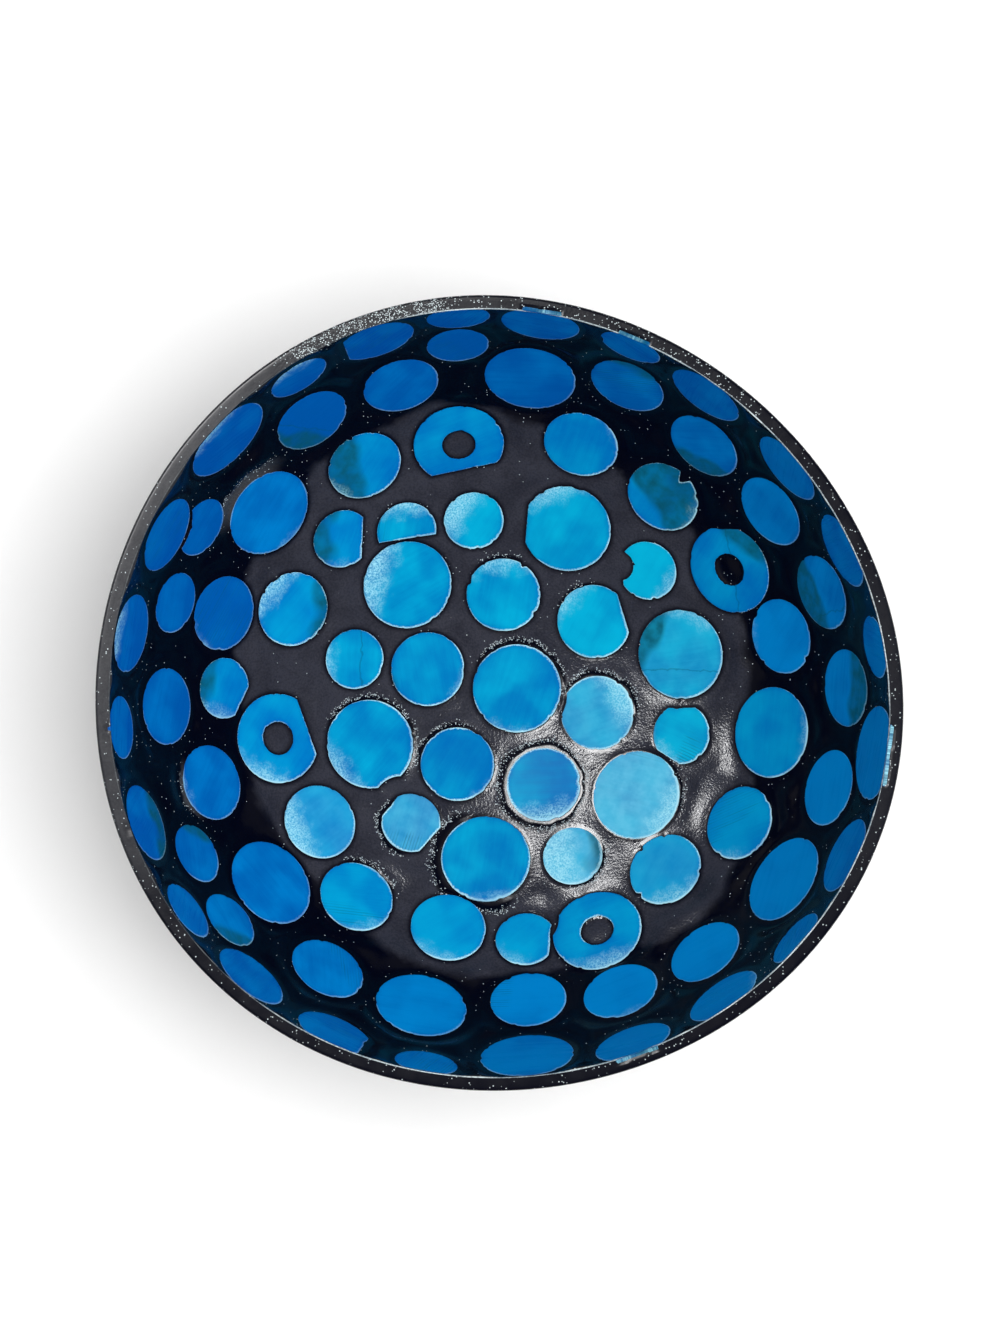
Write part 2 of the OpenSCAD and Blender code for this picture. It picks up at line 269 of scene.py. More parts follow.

# How much painted shade deepens the pearls at the far side of the bowl and at its left, and the turn towards
# which a painted highlight makes the edges of the discs brightest
PAINTED_SHADE_BY_SIDE = {
    "floor": (0.0, 0.3),
    "pierced": (0.15, 0.1),
    "lower": (0.35, 0.2),
    "wall": (0.75, 0.8),
    "rim": (0.65, 0.65),
}
EDGE_HIGHLIGHT_TURN = 305

# The rows of discs: how their nodes are named, how many discs each node holds at most, and their slot
DISC_ROWS = {
    "floor": ("floor_disc", 1, "floor_pearl"),
    "pierced": ("pierced_disc", 1, "lower_pearl"),
    "lower": ("lower_discs", 2, "lower_pearl"),
    "wall": ("wall_discs", 2, "wall_pearl"),
    "rim": ("rim_discs", 2, "rim_pearl"),
}


class Disc:
    """One disc as it lies: its plane, its outlines in that plane, and its looks."""

    def __init__(self, row, number, normal, middle):
        self.row, self.number = row, number
        self.looks = DISC_LOOKS[row].get(number, {})
        self.normal, self.middle = normal, middle
        self.turn = math.atan2(middle.y, middle.x)
        self.along = Vector((0, 0, 1)).cross(normal).normalized()
        if self.along.length < 0.5:
            self.along = Vector((0, 1, 0))
        self.uphill = normal.cross(self.along)
        self.seed = random.Random(f"{row} {number}").random()
        self.loops = []

    def flat(self, point):
        """A point in the disc's own plane, from its middle."""
        step = point - self.middle
        return Vector((step.dot(self.along), step.dot(self.uphill)))

    def space(self, step):
        """A direction in the disc's plane as one in space."""
        return self.along * step.x + self.uphill * step.y

    def seen(self, turn):
        """The direction in the disc's plane that points to this turn, in degrees, when seen from above."""
        way = Vector((math.cos(math.radians(turn)), math.sin(math.radians(turn)), 0))
        way.z = -way.dot(self.normal) / self.normal.z
        return Vector((way.dot(self.along), way.dot(self.uphill))).normalized()

    def side_field(self, key):
        """The field of a pattern on one side, as a direction and an offset in mm: 0 where its reach ends."""
        if key not in self.looks:
            return Vector((0, 0)), -9.0
        turn, reach = self.looks[key]
        toward = self.seen(turn)
        if key == "crack":
            return toward, -reach
        return toward, reach - (self.loops[0] @ np.array(toward)).max() / MM


def front_faces(faces):
    """The faces of a disc's front: the largest flat that looks into the bowl."""
    largest = max((f for f in faces if f.normal.z > 0.05), key=lambda f: f.calc_area())
    return [f for f in faces if f.normal.dot(largest.normal) > 0.999]


def loose_parts(bm):
    """The separate solids of a mesh, as lists of faces."""
    left, parts = set(bm.faces), []
    while left:
        part, edge = set(), [next(iter(left))]
        while edge:
            face = edge.pop()
            if face not in part:
                part.add(face)
                edge += [f for e in face.edges for f in e.link_faces if f not in part]
        left -= part
        parts.append(sorted(part, key=lambda f: f.index))
    return parts


def ordered_loops(edges):
    """Closed loops of vertices from loose edges."""
    left, loops = set(edges), []
    while left:
        edge = min(left, key=lambda e: e.index)
        left.discard(edge)
        loop = [edge.verts[0], edge.verts[1]]
        while True:
            following = [e for e in loop[-1].link_edges if e in left]
            if not following:
                break
            left.discard(following[0])
            loop.append(following[0].other_vert(loop[-1]))
        loops.append(loop[:-1] if loop[-1] is loop[0] else loop)
    return sorted(loops, key=len, reverse=True)


def wear_outline(disc, loops):
    """Nibbles a disc's outline, as sawing and the wear of its edge leave it."""
    worn = disc.looks.get("ragged", 1.0)
    chip_turn, chip_half, chip_deep = disc.looks.get("chip", (0, 1.0, 0.0))
    chipped = disc.seen(chip_turn)
    for loop in loops:
        middle = sum((v.co for v in loop), Vector()) / len(loop)
        for vert in loop:
            if vert.co.z > RIM_Z - 0.2 * MM:
                continue
            inward = (middle - vert.co).normalized()
            if loop is not loops[0]:
                inward.negate()
            at = vert.co / MM
            shift = Vector((disc.seed * 40, 0, 0))
            fine = 0.5 + 0.5 * noise.noise(at * 1.6 + shift)
            coarse = noise.noise(at * 0.55 + shift)
            chip = max(0.0, noise.noise(at * 0.9 - shift) - 0.28)
            bite = min(0.05 * fine + 0.05 * max(0.0, coarse) + 0.5 * chip * worn, 0.45) * (0.6 + 0.4 * worn)
            side = disc.flat(vert.co) / MM
            if loop is loops[0] and side.dot(chipped) > 0:
                bite += chip_deep * max(0.0, 1 - (side.cross(chipped) / chip_half) ** 2)
            vert.co += inward * bite * MM


def build_discs(row):
    """Builds the pieces of one row of discs from their nodes, and returns the discs."""
    stem, most, slot = DISC_ROWS[row]
    made = []
    names = sorted((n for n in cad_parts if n.startswith(stem)), key=lambda n: int(n.split("_")[-1]))
    for place, node in enumerate(names):
        bm = bmesh.new()
        bm.from_mesh(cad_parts[node].data)
        bmesh.ops.remove_doubles(bm, verts=bm.verts, dist=0.001 * MM)
        bm.normal_update()
        fronts = [front_faces(part) for part in loose_parts(bm)]
        fronts.sort(key=lambda front: turn_of(front))
        discs = []
        for order, front in enumerate(fronts):
            area = sum(f.calc_area() for f in front)
            normal = front[0].normal.copy()
            middle = sum((f.calc_center_median() * f.calc_area() for f in front), Vector()) / area
            discs.append(Disc(row, place * most + order + 1, normal, middle))
        keep = {f for front in fronts for f in front}
        bmesh.ops.delete(bm, geom=[f for f in bm.faces if f not in keep], context="FACES")
        shape_discs(bm, discs, fronts)
        piece = finish_piece("pearl_" + node, bm, [PEARL[slot]])
        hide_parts(node)
        made += discs
    return made


def turn_of(front):
    """The turn about the bowl, from 0 to 360 degrees, of the middle of some faces."""
    area = sum(f.calc_area() for f in front)
    middle = sum((f.calc_center_median() * f.calc_area() for f in front), Vector()) / area
    return math.degrees(math.atan2(middle.y, middle.x)) % 360


def shape_discs(bm, discs, fronts):
    """Turns the flat fronts of discs into worn blanks with their patterns' coordinates."""
    keys = ("edge", "frost", "dark", "lines", "crack", "tone", "bloom_and_reflection", "seed")
    layers = {key: bm.verts.layers.float.new(key) for key in keys}
    uv_layer = bm.loops.layers.uv.new("fibres")
    for disc, front in zip(discs, fronts):
        flats = flat_faces(bm, disc, front)
        arris = worn_edge(bm, disc, flats)
        outlines(bm, disc, flats, arris)
        lay_patterns(disc, arris, layers, uv_layer)
    bmesh.ops.recalc_face_normals(bm, faces=bm.faces)


def open_edges(faces):
    """The edges at which some faces end."""
    return [e for e in dict.fromkeys(e for f in faces for e in f.edges) if e.is_boundary]


def flat_faces(bm, disc, front):
    """The front of a disc as one face, or as two halves if it is pierced, as a face can't have a hole."""
    if disc.row != "pierced":
        return bmesh.ops.dissolve_faces(bm, faces=front)["region"]
    everything = bm.verts[:] + bm.edges[:] + bm.faces[:]
    bmesh.ops.bisect_plane(bm, geom=everything, plane_co=disc.middle, plane_no=disc.space(Vector((1, 0))))
    halves = [[], []]
    for face in bm.faces:
        halves[disc.flat(face.calc_center_median()).x > 0].append(face)
    flats = [face for half in halves for face in bmesh.ops.dissolve_faces(bm, faces=half)["region"]]
    between = {v for f in flats for v in f.verts if len(v.link_edges) == 2 and not v.is_boundary}
    bmesh.ops.dissolve_verts(bm, verts=list(between))
    return flats


def worn_edge(bm, disc, flats):
    """Gives a disc's outlines evenly spaced points, wears them, and returns them as loops of vertices."""
    by_cuts = {}
    for edge in open_edges(flats):
        by_cuts.setdefault(math.ceil(edge.calc_length() / EDGE_POINT) - 1, []).append(edge)
    for cuts, group in sorted(by_cuts.items()):
        if cuts > 0:
            bmesh.ops.subdivide_edges(bm, edges=group, cuts=cuts)
    bm.edges.index_update()
    arris = ordered_loops(open_edges(flats))
    wear_outline(disc, arris)
    disc.loops = [np.array([disc.flat(v.co) for v in loop]) for loop in arris]
    return arris


def outlines(bm, disc, flats, arris):
    """Makes the sides and back of a disc, its worn arris, and the rings that follow its edge on the front."""
    back = bmesh.ops.extrude_face_region(bm, geom=flats)["geom"]
    back = [g for g in back if isinstance(g, bmesh.types.BMVert)]
    bmesh.ops.translate(bm, verts=back, vec=-disc.normal * DISC_T)
    outer = [v for loop in arris for v in loop]
    inward = {}
    for loop in arris:
        middle = sum((v.co for v in loop), Vector()) / len(loop)
        for vert in loop:
            inward[vert] = (middle - vert.co).normalized() * (1 if loop is arris[0] else -1)
    depth = 0.0
    for ring in EDGE_RINGS:
        made = bmesh.ops.extrude_face_region(bm, geom=flats)["geom"]
        bmesh.ops.delete(bm, geom=flats, context="FACES")
        flats = [g for g in made if isinstance(g, bmesh.types.BMFace)]
        followed = {}
        for vert in [g for g in made if isinstance(g, bmesh.types.BMVert)]:
            before = [e.other_vert(vert) for e in vert.link_edges if e.other_vert(vert) in inward]
            if before:
                vert.co += inward[before[0]] * (ring - depth)
                followed[vert] = inward[before[0]]
        inward, depth = followed, ring
    bmesh.ops.translate(bm, verts=outer, vec=-disc.normal * ARRIS)


def lay_patterns(disc, arris, layers, uv_layer):
    """Writes where each pattern lies on a disc into its vertices."""
    touched, queue = set(), list(arris[0])
    while queue:
        vert = queue.pop()
        if vert not in touched:
            touched.add(vert)
            queue += [e.other_vert(vert) for e in vert.link_edges]
    touched = list(touched)
    flat = np.array([disc.flat(v.co) for v in touched])
    inside = -outside_by(flat, disc.loops[0])
    faces_out = np.ones(len(flat))
    for loop in disc.loops[1:]:
        from_hole = outside_by(flat, loop)
        faces_out = np.where(from_hole < inside, -1.0, 1.0)
        inside = np.minimum(inside, from_hole)
    looks = disc.looks
    fibre = disc.seen(looks.get("grain", 360 * disc.seed))
    fields = {key: disc.side_field(key) for key in ("frost", "dark", "lines", "crack")}
    # Painted shade: by row, the tone is lowered towards the far side of the bowl and towards its left
    far_shade, left = PAINTED_SHADE_BY_SIDE[disc.row]
    tone = looks.get("tone", 0.4 * disc.seed - 0.2) - far_shade * math.sin(disc.turn) + left * math.cos(disc.turn)
    bright = disc.seen(EDGE_HIGHLIGHT_TURN)
    shrunk = moat_of(disc, flat)[0]
    for vert, place, depth, out, bare_and_highlit in zip(touched, flat, inside, faces_out, shrunk):
        place = Vector(place) / MM
        for key, (toward, offset) in fields.items():
            vert[layers[key]] = toward.dot(place) + offset
        # The pale worn edge is widened on the side towards the lower right, seen from above, and where a moat bares
        # it: a painted highlight
        lit = place.normalized().dot(bright) * out + 0.9 * noise.noise(vert.co / (4 * MM)) + 1.2 * float(bare_and_highlit)
        edge = max(depth / MM, 0.0) / (1 + 0.6 * max(lit, 0)) + 0.2 * (1 - float(step(lit, -0.6, 0.5)))
        edge += looks.get("soft", 0.0) + 0.08 * (out < 0)
        vert[layers["edge"]] = min(edge, EDGE_RINGS[-1] / MM)
        vert[layers["tone"]] = tone
        behind = disc.normal.dot(disc.middle - vert.co) > 0.5 * DISC_T
        if vert.co.z > RIM_Z - (0.4 if behind else 0.1) * MM:
            vert[layers["edge"]] = EDGE_RINGS[-1] / MM
            vert[layers["frost"]] = looks.get("cut", -1.0) + 3 * noise.noise(vert.co / (1.5 * MM))
            vert[layers["dark"]] = 1.0
            vert[layers["tone"]] = -1.5
        vert[layers["bloom_and_reflection"]] = looks.get("bloom_and_reflection", 0.0)
        vert[layers["seed"]] = 50 * disc.seed
        for loop in vert.link_loops:
            loop[uv_layer].uv = (fibre.dot(place), fibre.cross(place))


def outside_by(points, loop):
    """How far points in a disc's plane lie outside an outline. Inside it they are negative."""
    start, end = loop, np.roll(loop, -1, axis=0)
    side = end - start
    to = points[:, None, :] - start[None]
    share = np.clip((to * side).sum(2) / (side**2).sum(1), 0, 1)
    near = np.linalg.norm(to - share[..., None] * side, axis=2).min(1)
    x, y = points[:, :1], points[:, 1:]
    rises = (start[:, 1] > y) != (end[:, 1] > y)
    with np.errstate(divide="ignore", invalid="ignore"):
        crossing = start[:, 0] + (y - start[:, 1]) / (end[:, 1] - start[:, 1]) * side[:, 0]
    inside = (rises & (x < crossing)).sum(1) % 2 == 1
    return np.where(inside, -near, near)


def step(value, low, high):
    """0 below low and 1 above high, with a smooth step between them."""
    share = np.clip((value - low) / (high - low), 0, 1)
    return share * share * (3 - 2 * share)


def lacquer_at_discs(points, discs):
    """Signed distance of points on the lining to the nearest disc, how far the lacquer lies down or up
    there, and how much moat, grit (its grains partly painted glints), painted grey reflection in a wall dent and
    painted dark halo round a disc lie there.
    Between discs it passes from one's level to the other's."""
    nearest = np.full(len(points), 1.0)
    level, weights = np.zeros(len(points)), np.zeros(len(points))
    marks = {key: np.zeros(len(points)) for key in ("moat", "grit_and_glints", "grey_reflection", "painted_dark_halo")}
    for disc in discs:
        size = np.linalg.norm(disc.loops[0], axis=1).max() + LIP_REACH
        near = np.flatnonzero(np.linalg.norm(points - np.array(disc.middle), axis=1) < size)
        if not len(near):
            continue
        way = points[near] - np.array(disc.middle)
        flat = np.stack([way @ np.array(disc.along), way @ np.array(disc.uphill)], axis=1)
        above = way @ np.array(disc.normal)
        away = outside_by(flat, disc.loops[0])
        in_hole = np.full(len(near), False)
        for loop in disc.loops[1:]:
            into_hole = -outside_by(flat, loop)
            in_hole |= into_hole > 0
            away = np.maximum(away, into_hole)
        moat, width = moat_of(disc, flat)
        dip = DIP_DEPTH * (1 - step(away, 0.0, DIP_WIDE)) * (disc.row in FLOOR_ROWS)
        dent = MOAT_DEPTH * moat * (1 - step(away, 0.4 * width, width + 0.01 * MM)) * (disc.row in FLOOR_ROWS)
        target = -STEP_DOWN - np.maximum(dip, dent)
        target = np.where(in_hole, -PLUG_DEPTH * step(away, 0.0, 0.35 * MM) - STEP_DOWN, target)
        under = step(-away, UNDERCUT, UNDERCUT + POCKET_SLOPE)
        target = target * (1 - under) - (DISC_T + STEP_DOWN) * under
        weight = np.where(in_hole, 1.0, NEAR_ENOUGH / np.maximum(away, NEAR_ENOUGH)) ** 2
        level[near] += weight * (target - above)
        weights[near] += weight
        nearest[near] = np.minimum(nearest[near], away)
        gritty_and_glinting = moat * step(away, 0.5 * width, width) * (1 - step(away, width + 0.1 * MM, width + 0.8 * MM))
        here = {
            "moat": moat * (1 - step(away, width, width + 0.9 * MM)),
            "grit_and_glints": gritty_and_glinting * (0.4 if disc.row == "wall" else 1.0),
            "grey_reflection": moat * (1 - step(away, width, width + 0.1 * MM)) * (disc.row == "wall"),
            "painted_dark_halo": 1 - step(away, moat * width, PAINTED_DARK_HALO_WIDTH + moat * (width - 0.5 * MM)),
        }
        for key, values in here.items():
            marks[key][near] = np.maximum(marks[key][near], values)
    level = np.where(weights > 0, level / np.maximum(weights, 1e-12), 0.0)
    return nearest, level * (1 - step(nearest, LIP_START, LIP_REACH)), marks


def moat_of(disc, flat):
    """How open the moat of a disc is towards points in its plane, from 0 to 1, and the moat's width."""
    if "moat" not in disc.looks:
        return np.zeros(len(flat)), 0.0
    turn, spread, width = disc.looks["moat"]
    bearing = (flat @ np.array(disc.seen(turn))) / np.maximum(np.linalg.norm(flat, axis=1), 0.1 * MM)
    around = np.arctan2(flat[:, 1], flat[:, 0])
    width = width * MM * (1 + 0.15 * np.sin(5 * around + 40 * disc.seed) + 0.12 * np.sin(11 * around))
    if spread > 179:
        return np.ones(len(flat)), width * (0.75 + 0.25 * bearing)
    limit = math.cos(math.radians(spread))
    return step(bearing, limit - 0.15, limit + 0.35), width


def on_lining(ball):
    """Points of the lining's face, and its normals, for points of the ball that it is drawn from."""
    turn = np.arctan2(ball[:, 1], ball[:, 0])
    share = np.arccos(np.clip(-ball[:, 2], -1, 1)) / CAP
    lean = lean_at(share * (FLOOR_ARC + WALL_ARC - EDGE_ROUND))
    r, z = section(lean)
    r = r * outline(turn)
    points = np.stack([r * np.cos(turn), r * np.sin(turn), z], axis=1)
    normals = np.stack([-np.sin(lean) * np.cos(turn), -np.sin(lean) * np.sin(turn), np.cos(lean)], axis=1)
    return points, normals


def ball_points(bm):
    """The vertices of the ball as an array, put back on it first."""
    for vert in bm.verts:
        vert.co.normalize()
    return np.array([v.co for v in bm.verts])


def inner_lacquer(discs):
    """The lining: brushed on, polished down to the discs and drawn down a little round each of them."""
    bm = bmesh.new()
    bmesh.ops.create_icosphere(bm, subdivisions=BALL_STEPS, radius=1)
    everything = bm.verts[:] + bm.edges[:] + bm.faces[:]
    bmesh.ops.bisect_plane(
        bm, geom=everything, plane_co=(0, 0, -math.cos(CAP)), plane_no=(0, 0, 1), clear_outer=True
    )
    bmesh.ops.reverse_faces(bm, faces=bm.faces)
    for band, cell, rows in CELLS:
        points = on_lining(ball_points(bm))[0]
        away, _, marks = lacquer_at_discs(points, [disc for disc in discs if disc.row in rows])
        ends = np.array([[v.index for v in e.verts] for e in bm.edges])
        lengths = np.linalg.norm(points[ends[:, 0]] - points[ends[:, 1]], axis=1)
        wide = band * (1 + marks["moat"][ends].max(1))
        close = (np.abs(away[ends]).min(1) < wide) & (lengths > cell)
        bm.edges.ensure_lookup_table()
        chosen = [bm.edges[i] for i in np.flatnonzero(close)]
        bmesh.ops.subdivide_edges(bm, edges=chosen, cuts=1, use_grid_fill=True)
        bmesh.ops.triangulate(bm, faces=[f for f in bm.faces if len(f.verts) > 3])
        bm.verts.index_update()

    points, normals = on_lining(ball_points(bm))
    for vert, point in zip(bm.verts, points):
        vert.co = point
    rim = [e for e in bm.edges if e.is_boundary]
    normals = list(normals)
    for i in range(1, ROUND_STEPS + 1):
        r, z, slope = edge_round(i / ROUND_STEPS)
        rim = extrude_ring(bm, rim, r, z)
        for vert in bm.verts[len(normals):]:
            turn = math.atan2(vert.co.y, vert.co.x)
            normals.append((math.cos(slope) * math.cos(turn), math.cos(slope) * math.sin(turn), math.sin(slope)))
    points = np.array([v.co for v in bm.verts])
    _, drop, marks = lacquer_at_discs(points, discs)
    grit_and_glints, grey_reflection, highlight_line, rubbed_and_reflecting = (bm.verts.layers.float.new(key) for key in ("grit_and_glints", "grey_reflection", "highlight_line", "rubbed_and_reflecting"))
    for number, (vert, normal, fall) in enumerate(zip(bm.verts, normals, drop)):
        at = vert.co / MM
        brushed = 0.014 * noise.noise(at * 0.16) + 0.003 * noise.noise(at * 0.7)
        free = min(1.0, (RIM_Z - vert.co.z) / MM)
        vert.co += Vector(normal) * (fall + free * brushed * MM)
        vert.co.z = min(vert.co.z, RIM_Z)
        vert[grit_and_glints], vert[grey_reflection] = marks["grit_and_glints"][number], marks["grey_reflection"][number]
        # The painted grey reflection of the floor, left out in the painted dark halo round each disc
        vert[rubbed_and_reflecting] = painted_reflection_at(vert.co) * (1 - marks["painted_dark_halo"][number])
        if vert.co.z > RIM_Z - RIM_FACES:
            vert[grit_and_glints], vert[grey_reflection], bare_and_highlit = rim_looks(vert.co)
            vert[highlight_line] = bare_and_highlit * (number >= len(normals) - len(rim))
            vert.co.z -= CUT_SUNK * over_cut(vert.co, discs)

    # The land of the rim, with a painted highlight line along its inner edge, then the back, which lies on the shell
    inner = edge_round(1.0)[0]
    past_discs = [inner + HIGHLIGHT_LINE_WIDTH, inner + 2 * HIGHLIGHT_LINE_WIDTH, inner + DISC_T - HIGHLIGHT_LINE_WIDTH, inner + DISC_T + HIGHLIGHT_LINE_WIDTH]
    for r in past_discs + [INNER_RIM_R + LINING / math.sin(RIM_LEAN)]:
        rim = extrude_ring(bm, rim, r, RIM_Z)
        for vert in {v for e in rim for v in e.verts}:
            vert[highlight_line] = rim_looks(vert.co)[2] * (r < inner + 1.5 * HIGHLIGHT_LINE_WIDTH)
            vert.co.z -= CUT_SUNK * over_cut(vert.co, discs)
    for i in range(BACK_RINGS, 0, -1):
        r, z = section(i / BACK_RINGS * RIM_LEAN * 0.985, LINING)
        rim = extrude_ring(bm, rim, float(r), float(z))
    bmesh.ops.contextual_create(bm, geom=rim)
    for vert in bm.verts[len(normals):]:
        vert[grit_and_glints], vert[grey_reflection], _ = rim_looks(vert.co)
    bmesh.ops.recalc_face_normals(bm, faces=bm.faces)
    for face in bm.faces:
        face.material_index = int(face.calc_center_median().z > RIM_Z - RIM_FACES)
    piece = finish_piece("lacquer_lining", bm, [LACQUER["inside"], LACQUER["rim"]])
    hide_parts("inner_lacquer")
    return piece


def painted_reflection_at(point):
    """How far the lining carries its painted grey reflection here, where it is also rubbed, from 0 to 1."""
    turn = math.degrees(math.atan2(point.y, point.x)) % 360
    reach = float(np.interp(turn, *zip(*PAINTED_REFLECTION_OUT_TO), period=360)) + 1.2 * noise.noise(point / (5 * MM))
    return 1 - float(step(math.hypot(point.x, point.y) / MM, reach - 0.6, reach + 0.6))


def rim_looks(point):
    """How gritty the lacquer is on the rim here, its grains partly painted glints, how much painted grey reflection
    lies on it, and how strong the painted highlight line along its inner edge is.
    """
    turn = math.degrees(math.atan2(point.y, point.x)) % 360
    from_right = abs((turn + 185) % 360 - 180)
    gritty_and_glinting = step(turn, 94, 101) * (1 - step(turn, 116, 126))
    gritty_and_glinting = max(gritty_and_glinting, 0.15 * step(turn, 30, 60) * (1 - step(turn, 94, 101)), 0.04)
    grey_reflection = 0.6 * step(turn, 120, 134) * (1 - step(turn, 198, 214)) + 0.15 * (1 - step(from_right, 15, 32))
    bare_and_highlit = 1 - 0.65 * step(turn, 95, 110) * (1 - step(turn, 215, 255))
    return float(gritty_and_glinting), float(grey_reflection), float(bare_and_highlit)


def over_cut(point, discs):
    """Whether a point of the rim lies over the frosted cut edge of a disc."""
    for disc in discs:
        if "cut" in disc.looks and (point - disc.middle).length < 9 * MM:
            loop = disc.loops[0]
            ends = loop[loop[:, 1] > loop[:, 1].max() - 0.02 * MM, 0]
            behind = (disc.middle - point).dot(disc.normal)
            if ends.min() < disc.flat(point).x < ends.max() and abs(behind) < DISC_T:
                return True
    return False


def edge_round(share):
    """Radius and height on the rounded inner edge of the rim, from wall to land, and the slope of its normal."""
    lean = float(lean_at(np.array(FLOOR_ARC + WALL_ARC - EDGE_ROUND)))
    r, z = (float(c) for c in section(lean))
    size = (RIM_Z - z) / (1 - math.cos(lean))
    slope = math.pi / 2 + lean * (1 - share)
    centre_r = r + size * math.sin(lean)
    return centre_r + size * math.cos(slope), RIM_Z - size + size * math.sin(slope), slope


def extrude_ring(bm, edges, r, z):
    """Extrudes a ring of edges to a ring of this radius and height, and returns its edges."""
    made = bmesh.ops.extrude_edge_only(bm, edges=edges)["geom"]
    fresh = {g for g in made if isinstance(g, bmesh.types.BMVert)}
    for vert in fresh:
        vert.co = ring_place(math.atan2(vert.co.y, vert.co.x), r, z)
    return [g for g in made if isinstance(g, bmesh.types.BMEdge) and set(g.verts) <= fresh]


def outer_lacquer():
    """The coat outside, over the rim and down to the foot, over the faint fibres of the nut."""
    foot_lean = math.atan(FOOT_R / (FLOOR_ARC_R + FLOOR_WALL))
    foot_wall = float(section(foot_lean)[1]) / math.cos(foot_lean)
    rows = 40

    def wall(lean):
        return foot_wall + (RIM_WALL - foot_wall) * (lean - foot_lean) / (RIM_LEAN - foot_lean)

    def side(depth):
        leans = [foot_lean + i * (RIM_LEAN - foot_lean) / rows for i in range(rows)]
        return [tuple(map(float, section(lean, wall(lean) - depth))) for lean in leans]

    def over(depth):
        bends = [RIM_LEAN - math.pi / 2 + i * (math.pi - RIM_LEAN) / 10 for i in range(11)]
        centre_r, centre_z = BOWL_R - RIM_ROUND, RIM_Z - RIM_ROUND
        size = RIM_ROUND - depth
        return [(centre_r + size * math.cos(b), centre_z + size * math.sin(b)) for b in bends]

    land_r = INNER_RIM_R + LINING / math.sin(RIM_LEAN)
    foot_in = (FOOT_R - COAT / math.sin(foot_lean), 0.0)
    shape = side(0) + over(0) + [(land_r, RIM_Z), (land_r, RIM_Z - COAT)]
    shape += over(COAT)[::-1] + side(COAT)[::-1] + [foot_in]
    bm = bmesh.new()
    verts = [bm.verts.new((r, 0, z)) for r, z in shape]
    edges = [bm.edges.new((a, b)) for a, b in zip(verts, verts[1:] + verts[:1])]
    bmesh.ops.spin(
        bm, geom=verts + edges, axis=(0, 0, 1), cent=(0, 0, 0), angle=2 * math.pi, steps=COAT_STEPS, use_merge=True
    )
    bmesh.ops.remove_doubles(bm, verts=bm.verts, dist=0.001 * MM)
    bmesh.ops.recalc_face_normals(bm, faces=bm.faces)
    grit_and_glints, grey_reflection = (bm.verts.layers.float.new(key) for key in ("grit_and_glints", "grey_reflection"))
    for face in bm.faces:
        face.material_index = int(face.calc_center_median().z > RIM_Z - RIM_FACES)
    for vert in bm.verts:
        turn = math.atan2(vert.co.y, vert.co.x)
        factor = float(outline(turn))
        r = math.hypot(vert.co.x, vert.co.y)
        at = Vector((9 * math.cos(turn), 9 * math.sin(turn), vert.co.z / MM * 0.06))
        relief = 0.5 + 0.5 * noise.fractal(at, 1.0, 2.0, 4)
        inward = 0.09 * MM * min(max(relief, 0), 1) * min(1, (RIM_Z - vert.co.z) / (2 * MM))
        inward += 0.04 * MM * min(max((r - land_r) / MM, 0), 1)
        scale = factor * (r - inward) / r
        vert.co.x *= scale
        vert.co.y *= scale
        if vert.co.z > RIM_Z - 0.7 * MM:
            vert[grit_and_glints], vert[grey_reflection], _ = rim_looks(vert.co)
    piece = finish_piece("lacquer_coat", bm, [LACQUER["outside"], LACQUER["rim"]])
    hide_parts("outer_lacquer")
    return piece


def linear(hex_colour):
    """An sRGB hex colour as linear red, green, blue and alpha."""
    parts = [int(hex_colour[i : i + 2], 16) / 255 for i in (1, 3, 5)]
    return tuple(c / 12.92 if c <= 0.04045 else ((c + 0.055) / 1.055) ** 2.4 for c in parts) + (1.0,)


def add(tree, kind, inputs=None, **settings):
    """Adds a node to a tree, with its settings, and sets its inputs or links sockets into them."""
    node = tree.nodes.new("ShaderNode" + kind)
    for name, value in settings.items():
        setattr(node, name, value)
    for key, value in (inputs or {}).items():
        if isinstance(value, bpy.types.NodeSocket):
            tree.links.new(value, node.inputs[key])
        else:
            node.inputs[key].default_value = value
    return node


def new_material(name):
    """A material with an empty Principled shader, its tree and that shader."""
    material = bpy.data.materials.new(name)
    material.use_nodes = True
    return material, material.node_tree, material.node_tree.nodes["Principled BSDF"]


